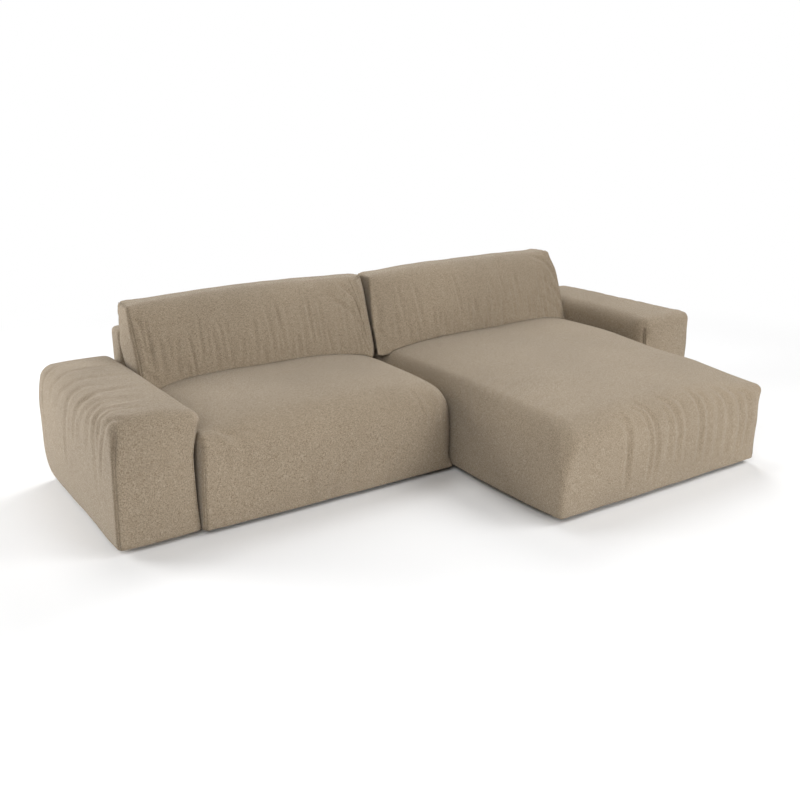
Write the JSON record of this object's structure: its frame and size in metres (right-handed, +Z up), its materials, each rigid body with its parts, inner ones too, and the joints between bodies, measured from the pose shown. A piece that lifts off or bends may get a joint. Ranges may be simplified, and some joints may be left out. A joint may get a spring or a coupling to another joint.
{
  "type": "corner sofa",
  "caption": "Low upholstered corner sofa with a long chaise, thick box arms, low backs and loose leaning back cushions.",
  "frame": {"origin": "on the floor, at the middle of the sofa's footprint", "axes": "+X to the right as seen from the front, +Y towards the back, +Z up"},
  "size_m": [3.2028, 1.7149, 0.832],
  "materials": {
    "woven_fabric": "matt beige weave",
    "base_cloth": "black non-woven cloth",
    "foam": "soft open foam",
    "fibre_filling": "white loose fibre",
    "timber": "sawn",
    "plywood": "sanded",
    "webbing": "woven elastic",
    "black_plastic": "matt",
    "zinc_steel": "zinc plated",
    "zip_metal": "dark plated",
    "zip_tape": "beige woven tape"
  },
  "bodies": {
    "sofa": {"arm_left_base_board": "plywood", "arm_left_inner_board": "plywood", "arm_left_outer_board": "plywood", "arm_left_top_board": "plywood", "arm_left_foam": "foam", "arm_left_cover": "woven_fabric", "arm_left_front_foot": "black_plastic", "arm_left_rear_foot": "black_plastic", "arm_left_front_bolt": "zinc_steel", "arm_left_rear_bolt": "zinc_steel", "arm_right_base_board": "plywood", "arm_right_inner_board": "plywood", "arm_right_outer_board": "plywood", "arm_right_top_board": "plywood", "arm_right_foam": "foam", "arm_right_cover": "woven_fabric", "arm_right_front_foot": "black_plastic", "arm_right_rear_foot": "black_plastic", "arm_right_front_bolt": "zinc_steel", "arm_right_rear_bolt": "zinc_steel", "centre_front_bolt": "zinc_steel", "centre_rear_bolt": "zinc_steel", "back_left_board": "plywood", "back_left_foam": "foam", "back_left_cover": "woven_fabric", "back_right_board": "plywood", "back_right_foam": "foam", "back_right_cover": "woven_fabric", "seat_front_rail": "timber", "seat_rear_rail": "timber", "seat_left_rail": "timber", "seat_right_rail": "timber", "seat_webbing": "webbing", "seat_foam": "foam", "seat_cover": "woven_fabric", "seat_base_cloth": "base_cloth", "seat_front_left_foot": "black_plastic", "seat_front_right_foot": "black_plastic", "seat_rear_left_foot": "black_plastic", "seat_rear_right_foot": "black_plastic", "chaise_front_rail": "timber", "chaise_rear_rail": "timber", "chaise_left_rail": "timber", "chaise_right_rail": "timber", "chaise_webbing": "webbing", "chaise_foam": "foam", "chaise_cover": "woven_fabric", "chaise_base_cloth": "base_cloth", "chaise_front_left_foot": "black_plastic", "chaise_front_right_foot": "black_plastic", "chaise_rear_left_foot": "black_plastic", "chaise_rear_right_foot": "black_plastic"},
    "left_cushion": {"cushion_left_cover": "woven_fabric", "cushion_left_filling": "fibre_filling", "cushion_left_zip_tape": "zip_tape"},
    "right_cushion": {"cushion_right_cover": "woven_fabric", "cushion_right_filling": "fibre_filling", "cushion_right_zip_tape": "zip_tape"},
    "left_zip_slider": {"cushion_left_zip_slider": "zip_metal"},
    "right_zip_slider": {"cushion_right_zip_slider": "zip_metal"}
  },
  "joints": [
    {"name": "left_cushion_lift", "type": "slide", "parent": "sofa", "child": "left_cushion", "axis": [0, 0, 1], "range_m": [0, 0.3]},
    {"name": "right_cushion_lift", "type": "slide", "parent": "sofa", "child": "right_cushion", "axis": [0, 0, 1], "range_m": [0, 0.3]},
    {"name": "left_zip_slide", "type": "slide", "parent": "left_cushion", "child": "left_zip_slider", "axis": [-1, 0, 0], "range_m": [0, 0.974]},
    {"name": "right_zip_slide", "type": "slide", "parent": "right_cushion", "child": "right_zip_slider", "axis": [-1, 0, 0], "range_m": [0, 0.974]}
  ]
}
